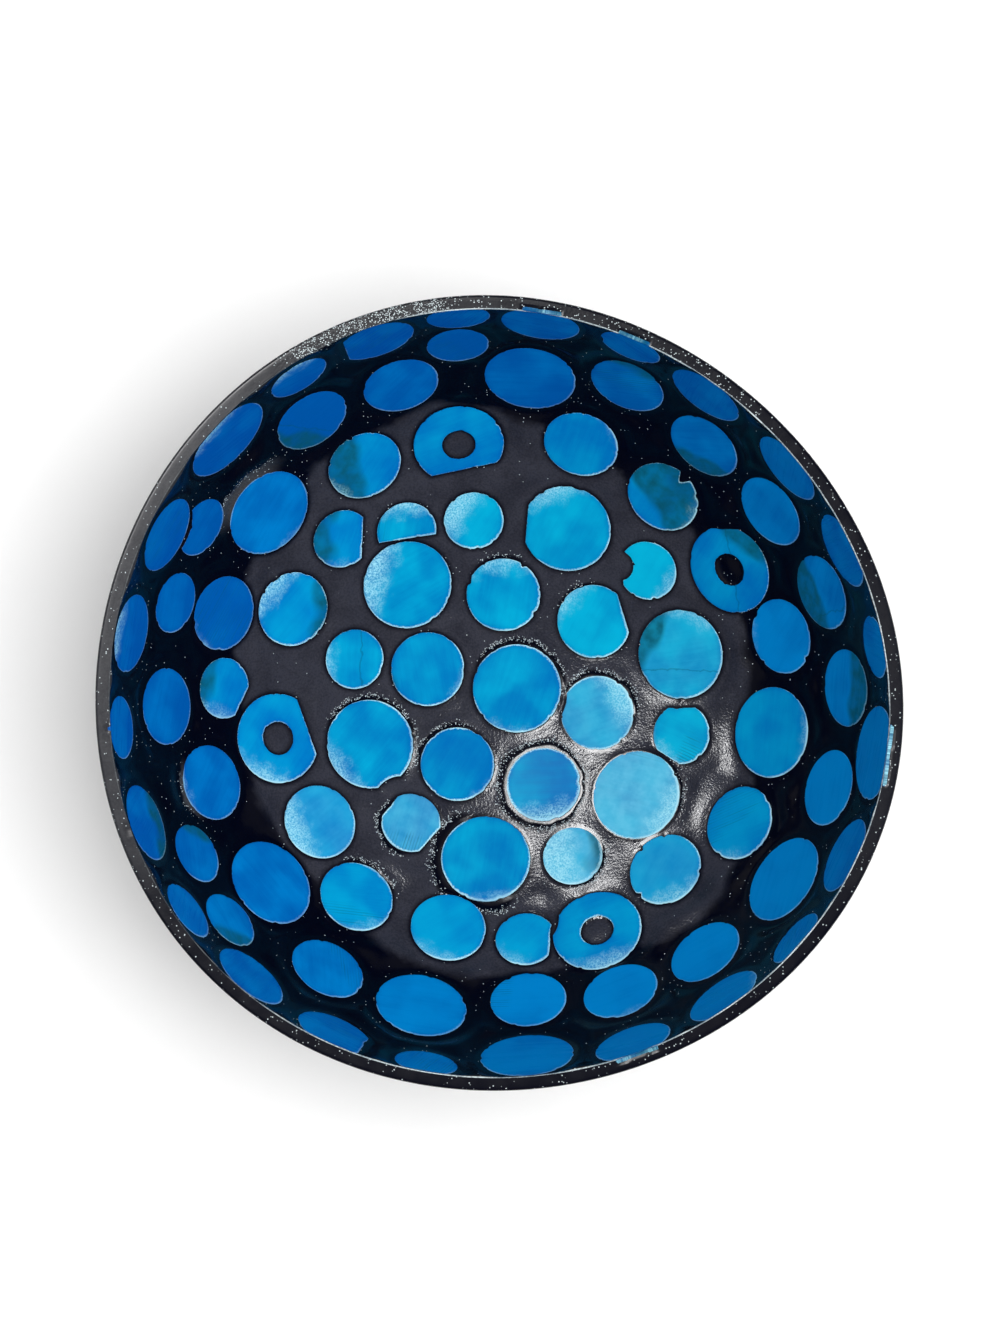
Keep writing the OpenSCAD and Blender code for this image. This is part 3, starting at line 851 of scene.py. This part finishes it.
def dyed_pearl(name, deep, bright, fibre, edge, sheen):
    """Mother of pearl, sawn from the shell, dyed blue and ground flat. The dye is uneven along its fibres,
    and it is pale where the blank is frosted or its edge has worn. The pale edge is widened on one side as a painted
    highlight, and the milky cloud is partly a painted reflection of the small light."""
    material, tree, shader = new_material(name)
    uv = add(tree, "UVMap", uv_map="fibres").outputs["UV"]
    of = {key: add(tree, "Attribute", attribute_name=key).outputs["Fac"]
          for key in ("edge", "frost", "dark", "lines", "crack", "tone", "bloom_and_reflection", "seed")}

    def noise_of(vector, scale, detail, rough=0.5):
        node = add(tree, "TexNoise", {"Vector": vector, "W": of["seed"], "Scale": scale, "Detail": detail,
                                      "Roughness": rough}, noise_dimensions="4D")
        return node.outputs["Fac"]

    def math_of(operation, a, b=0.0, c=0.0):
        return add(tree, "Math", {0: a, 1: b, 2: c}, operation=operation).outputs["Value"]

    def ramp(value, low, high, start=0.0, end=1.0):
        node = add(tree, "MapRange", {"Value": value, "From Min": low, "From Max": high, "To Min": start,
                                      "To Max": end}, interpolation_type="SMOOTHSTEP")
        return node.outputs["Result"]

    def mix(share, a, b):
        return add(tree, "Mix", {0: share, 6: a, 7: b}, data_type="RGBA").outputs[2]

    # Fibres 0.8 mm and 0.15 mm wide and many times as long, and clouds some 7 mm across
    broad = add(tree, "Mapping", {"Vector": uv, "Scale": (0.1, 1.2, 1)}).outputs["Vector"]
    narrow = add(tree, "Mapping", {"Vector": uv, "Scale": (0.35, 6.0, 1)}).outputs["Vector"]
    clouds = noise_of(uv, 0.15, 1)
    fibres = noise_of(broad, 1.0, 4, 0.6)
    threads = noise_of(narrow, 1.0, 2)
    grain = noise_of(uv, 3.5, 3, 0.7)
    blots = noise_of(uv, 0.45, 3, 0.55)

    share = math_of("MULTIPLY_ADD", of["tone"], 0.45, 0.5)
    share = math_of("ADD", share, ramp(clouds, 0.3, 0.7, -0.2, 0.2))
    share = math_of("ADD", share, ramp(blots, 0.3, 0.7, -0.05, 0.05))
    share = math_of("ADD", share, ramp(of["edge"], 0.15, 0.9, -0.2, 0.0))
    share = math_of("ADD", share, ramp(fibres, 0.3, 0.7, -fibre, fibre))
    share = math_of("ADD", share, ramp(threads, 0.3, 0.7, -0.4 * fibre, 0.4 * fibre))
    share = ramp(share, -0.15, 1.15)
    colour = mix(share, linear(deep), linear(bright))

    # A milky cloud, partly a painted reflection of the small light, the dark stain, and growth lines 0.35 mm apart
    milky_and_reflected = math_of("MULTIPLY", of["bloom_and_reflection"], ramp(blots, 0.25, 0.75, 0.4, 0.9))
    milky_and_reflected = math_of("MULTIPLY", milky_and_reflected, ramp(fibres, 0.25, 0.75, 0.8, 1.0))
    colour = mix(milky_and_reflected, colour, linear(MILK_AND_REFLECTION))
    stain = math_of("ADD", of["dark"], ramp(clouds, 0.3, 0.7, -1.1, 1.1))
    stain = math_of("MULTIPLY", ramp(stain, -0.9, 0.9), ramp(blots, 0.25, 0.75, 0.5, 0.95))
    colour = mix(stain, colour, linear(STAIN))
    wavy = math_of("MULTIPLY_ADD", grain, 0.05, math_of("MULTIPLY", threads, 0.3))
    across = add(tree, "SeparateXYZ", {"Vector": uv}).outputs["Y"]
    lines = math_of("SINE", math_of("MULTIPLY", math_of("ADD", across, wavy), 2 * math.pi / 0.5))
    lines = math_of("MULTIPLY", ramp(lines, 0.1, 1.0), ramp(of["lines"], 0.0, 1.6))
    lines = math_of("MULTIPLY", lines, ramp(fibres, 0.4, 0.65))
    colour = mix(math_of("MULTIPLY", lines, 0.5), colour, linear(STAIN))
    crack = math_of("ABSOLUTE", math_of("ADD", of["crack"], ramp(blots, 0.3, 0.7, -0.3, 0.3)))
    colour = mix(ramp(crack, 0.04, 0.2, 0.4, 0.0), colour, linear(STAIN))

    # The frosted side, grainy and strongest at the edge, and the pale line of the worn edge, made wider on its lit
    # side as a painted highlight
    frost = math_of("ADD", of["frost"], ramp(blots, 0.3, 0.7, -0.8, 0.8))
    frost = math_of("MULTIPLY", ramp(frost, -1.2, 3.2), ramp(grain, 0.4, 0.6, 0.15, 1.0))
    colour = mix(math_of("MULTIPLY", frost, 0.9), colour, linear(FROST))
    worn = math_of("ADD", of["edge"], ramp(grain, 0.3, 0.7, -0.08, 0.08))
    worn = math_of("MULTIPLY", ramp(worn, 0.06, 0.24, edge, 0.0), ramp(clouds, 0.3, 0.65, 0.55, 1.0))
    colour = mix(worn, colour, linear(WORN_AND_HIGHLIT_EDGE))
    tree.links.new(colour, shader.inputs["Base Color"])

    roughness = math_of("MULTIPLY_ADD", frost, 0.25, ramp(fibres, 0.3, 0.7, 0.24, 0.34))
    tree.links.new(roughness, shader.inputs["Roughness"])
    height = math_of("ADD", math_of("MULTIPLY", threads, 0.5), math_of("MULTIPLY", grain, 0.5))
    bump = add(tree, "Bump", {"Height": height, "Strength": 0.25, "Distance": 0.03 * MM})
    tree.links.new(bump.outputs["Normal"], shader.inputs["Normal"])
    shader.inputs["Specular IOR Level"].default_value = sheen
    return material


def black_lacquer(name, specks, grains, roughness, mirror):
    """Black lacquer, brushed on in coats: deep, with dust specks that catch the light, and white grit where
    it is thin or has shrunk, its grains partly painted glints. Where the floor was rubbed, a grey haze in its colour
    is a painted reflection of the room; grey patches on the rim and in a wall dent are painted reflections, and the
    white line along its edge at the rim is a painted highlight."""
    material, tree, shader = new_material(name)
    place = add(tree, "TexCoord").outputs["Object"]
    grit_and_glints, grey_reflection, highlight_line, rubbed_and_reflecting = (add(tree, "Attribute", attribute_name=key).outputs["Fac"]
                                for key in ("grit_and_glints", "grey_reflection", "highlight_line", "rubbed_and_reflecting"))

    def math_of(operation, a, b=0.0, c=0.0):
        return add(tree, "Math", {0: a, 1: b, 2: c}, operation=operation).outputs["Value"]

    def ramp(value, low, high, start=0.0, end=1.0):
        node = add(tree, "MapRange", {"Value": value, "From Min": low, "From Max": high, "To Min": start,
                                      "To Max": end}, interpolation_type="SMOOTHSTEP")
        return node.outputs["Result"]

    def noise_of(size, detail):
        return add(tree, "TexNoise", {"Vector": place, "Scale": 1 / size, "Detail": detail}).outputs["Fac"]

    def mix(share, a, b):
        return add(tree, "Mix", {0: share, 6: a, 7: b}, data_type="RGBA").outputs[2]

    def grains_of(apart, size, share):
        cells = add(tree, "TexVoronoi", {"Vector": place, "Scale": 1 / apart})
        picked = add(tree, "SeparateColor", {"Color": cells.outputs["Color"]}).outputs["Red"]
        round_grain = ramp(cells.outputs["Distance"], 0.25 * size / apart, 0.6 * size / apart, 1.0, 0.0)
        return math_of("MULTIPLY", round_grain, math_of("LESS_THAN", picked, share))

    # Dust specks 0.17 mm across, which lie in clouds and were mostly rubbed off the floor, and grains of grit,
    # partly painted glints
    fine = noise_of(0.35 * MM, 2.0)
    peel = noise_of(3.0 * MM, 2.0)
    dusty = ramp(noise_of(11 * MM, 1.0), 0.35, 0.65, 0.1 * specks, 2 * specks)
    speck = grains_of(0.6 * MM, 0.17 * MM, math_of("MULTIPLY", dusty, ramp(rubbed_and_reflecting, 0.0, 1.0, 1.0, 0.3)))
    heaped = ramp(noise_of(1.4 * MM, 2.0), 0.35, 0.65, 0.3, 1.1)
    # The grains of grit round moats and on the rim partly stand in for glints: painted glints
    sand_and_glints = grains_of(1.15 * grains, grains, math_of("MULTIPLY", grit_and_glints, heaped))
    # Painted reflection: a grey haze in the colour where the floor faces up to the room
    painted_reflection = math_of("MULTIPLY", rubbed_and_reflecting, ramp(fine, 0.25, 0.75, 0.65, 1.05))
    painted_reflection = math_of("MULTIPLY", painted_reflection, ramp(noise_of(5 * MM, 2.0), 0.3, 0.7, 0.75, 1.15))
    colour = mix(painted_reflection, linear(LACQUER_BLACK), linear(FLOOR_REFLECTION_GREY))
    # Painted reflection: grey patches on the rim and in a dent beside a wall disc
    colour = mix(math_of("MULTIPLY", grey_reflection, ramp(fine, 0.3, 0.7, 0.7, 1.0)), colour, linear(PATCH_REFLECTION_GREY))
    # Painted highlight: the white line along the inner edge of the rim
    bare_and_highlit = math_of("MULTIPLY", ramp(highlight_line, 0.2, 0.9), ramp(fine, 0.3, 0.6, 0.4, 0.9))
    pale = math_of("MAXIMUM", math_of("MAXIMUM", speck, sand_and_glints), bare_and_highlit)
    tree.links.new(mix(pale, colour, linear(DUST_AND_HIGHLIGHT_WHITE)), shader.inputs["Base Color"])

    spread = math_of("ADD", ramp(peel, 0.3, 0.7, roughness, roughness + 0.08), math_of("MULTIPLY", grit_and_glints, 0.1))
    tree.links.new(spread, shader.inputs["Roughness"])
    rough_here = math_of("MULTIPLY", fine, math_of("MULTIPLY_ADD", math_of("MAXIMUM", grit_and_glints, rubbed_and_reflecting), 0.8, 0.15))
    height = math_of("ADD", math_of("MULTIPLY", peel, 0.2), rough_here)
    height = math_of("ADD", height, math_of("MULTIPLY", math_of("ADD", speck, sand_and_glints), 0.3))
    bump = add(tree, "Bump", {"Height": height, "Strength": 1.0, "Distance": 0.08 * MM})
    tree.links.new(bump.outputs["Normal"], shader.inputs["Normal"])
    shader.inputs["IOR"].default_value = 1.5
    shader.inputs["Specular IOR Level"].default_value = mirror
    return material


def sanded_shell(name):
    """Coconut shell, sanded: dense brown wood with short pale and dark fibres and fine pores."""
    material, tree, shader = new_material(name)
    place = add(tree, "TexCoord").outputs["Object"]
    drawn = add(tree, "Mapping", {"Vector": place, "Scale": (1.0, 4.0, 1.0)}).outputs["Vector"]
    fibres = add(tree, "TexNoise", {"Vector": drawn, "Scale": 1 / (4 * MM), "Detail": 6.0, "Roughness": 0.65})
    pores = add(tree, "TexVoronoi", {"Vector": place, "Scale": 1 / (1.1 * MM)}).outputs["Distance"]
    ramp = add(tree, "ValToRGB", {"Fac": fibres.outputs["Fac"]})
    ramp.color_ramp.elements[0].position = 0.3
    ramp.color_ramp.elements[0].color = linear("#3a2113")
    ramp.color_ramp.elements[1].position = 0.72
    ramp.color_ramp.elements[1].color = linear("#9a6a41")
    spots = add(tree, "MapRange", {"Value": pores, "From Min": 0.05, "From Max": 0.2, "To Min": 0.6, "To Max": 0.0})
    dark = add(tree, "Mix", {0: spots.outputs["Result"], 6: ramp.outputs["Color"], 7: linear("#1e100a")},
               data_type="RGBA")
    tree.links.new(dark.outputs[2], shader.inputs["Base Color"])
    bump = add(tree, "Bump", {"Height": fibres.outputs["Fac"], "Strength": 0.4, "Distance": 0.05 * MM})
    tree.links.new(bump.outputs["Normal"], shader.inputs["Normal"])
    shader.inputs["Roughness"].default_value = 0.55
    return material


def studio_paper(name):
    """White seamless paper under the bowl, with the faintest mottle."""
    material, tree, shader = new_material(name)
    place = add(tree, "TexCoord").outputs["Object"]
    mottle = add(tree, "TexNoise", {"Vector": place, "Scale": 1 / (30 * MM)}).outputs["Fac"]
    colour = add(tree, "Mix", {0: mottle, 6: linear("#f2f2f2"), 7: linear("#f6f6f6")}, data_type="RGBA")
    tree.links.new(colour.outputs[2], shader.inputs["Base Color"])
    shader.inputs["Roughness"].default_value = 0.9
    shader.inputs["Specular IOR Level"].default_value = 0.1
    return material


def camera():
    """The camera over the bowl, a little to its right and beyond its middle, as in the photograph."""
    data = bpy.data.cameras.new("camera")
    data.sensor_width = 36
    data.lens = 36 * 3326 / 1344
    seen = bpy.data.objects.new("camera", data)
    seen.location = (3.76 * MM, 5.87 * MM, RIM_Z + 525.75 * MM)
    seen.rotation_euler = (math.radians(-0.22), math.radians(0.28), 0)
    bpy.context.scene.collection.objects.link(seen)
    bpy.context.scene.camera = seen


def area_light(name, place, aim, size, watts, mirrored):
    """A square soft light that looks at a point, and that is seen in gloss alone or everywhere else."""
    data = bpy.data.lights.new(name, "AREA")
    data.size = size
    data.energy = watts
    lamp = bpy.data.objects.new(name, data)
    lamp.location = place
    lamp.rotation_euler = (Vector(aim) - Vector(place)).to_track_quat("-Z", "Y").to_euler()
    lamp.visible_glossy = mirrored
    lamp.visible_diffuse = not mirrored
    bpy.context.scene.collection.objects.link(lamp)


def studio():
    """A white room, a large soft light from the right and a small one over the bowl, and white paper."""
    world = bpy.data.worlds.new("white room")
    world.use_nodes = True
    world.node_tree.nodes["Background"].inputs["Color"].default_value = linear("#ffffff")
    world.node_tree.nodes["Background"].inputs["Strength"].default_value = 0.7
    bpy.context.scene.world = world
    bpy.context.scene.view_settings.view_transform = "Standard"
    area_light("soft light", (0.55, 0.0, 1.5), (0, 0, 0), 1.0, 20.0, mirrored=False)
    area_light("small light", (-0.334, 0.348, 0.786), (0.0185, -0.02, 0), 0.36, 72.0, mirrored=True)
    bm = bmesh.new()
    bmesh.ops.create_grid(bm, x_segments=4, y_segments=4, size=2.0)
    mesh = bpy.data.meshes.new("paper")
    bm.to_mesh(mesh)
    bm.free()
    mesh.materials.append(studio_paper("white_paper"))
    paper = bpy.data.objects.new("paper", mesh)
    bpy.context.scene.collection.objects.link(paper)


# Colours of the finishes, and of painted reflections and highlights
STAIN = "#0a4f60"
FROST = "#9fdbe8"
MILK_AND_REFLECTION = "#74c6df"
WORN_AND_HIGHLIT_EDGE = "#b2e2ee"
LACQUER_BLACK = "#02030f"
FLOOR_REFLECTION_GREY = "#31323b"
PATCH_REFLECTION_GREY = "#3f4044"
DUST_AND_HIGHLIGHT_WHITE = "#c9d6da"

# Away from the floor the pearls get deeper colours, a painted shade where less light reaches the wall and rim; the
# pale edge line, partly a painted highlight, is strongest on the floor
PEARL = {
    "floor_pearl": dyed_pearl(
        "dyed_pearl_of_the_floor", "#0068ac", "#06aed0", fibre=0.05, edge=0.95, sheen=0.003),
    "lower_pearl": dyed_pearl(
        "dyed_pearl_above_the_floor", "#0061b0", "#049dcb", fibre=0.05, edge=0.85, sheen=0.003),
    "wall_pearl": dyed_pearl(
        "dyed_pearl_of_the_wall", "#0054a2", "#0083ca", fibre=0.05, edge=0.3, sheen=0.015),
    "rim_pearl": dyed_pearl(
        "dyed_pearl_of_the_rim", "#0053a6", "#007dc4", fibre=0.07, edge=0.3, sheen=0.015),
}
LACQUER = {
    "inside": black_lacquer("black_lacquer_with_painted_reflection", 0.16, 0.2 * MM, roughness=0.16, mirror=0.065),
    "rim": black_lacquer("black_lacquer_of_the_rim_with_painted_light", 0.2, 0.22 * MM, roughness=0.3, mirror=0.05),
    "outside": black_lacquer("satin_black_lacquer", 0.03, 0.3 * MM, roughness=0.25, mirror=0.35),
}

camera()
studio()
all_discs = [disc for row in DISC_ROWS for disc in build_discs(row)]
inner_lacquer(all_discs)
outer_lacquer()
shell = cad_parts["coconut_shell"]
shell.data.materials.clear()
shell.data.materials.append(sanded_shell("sanded_coconut_shell"))
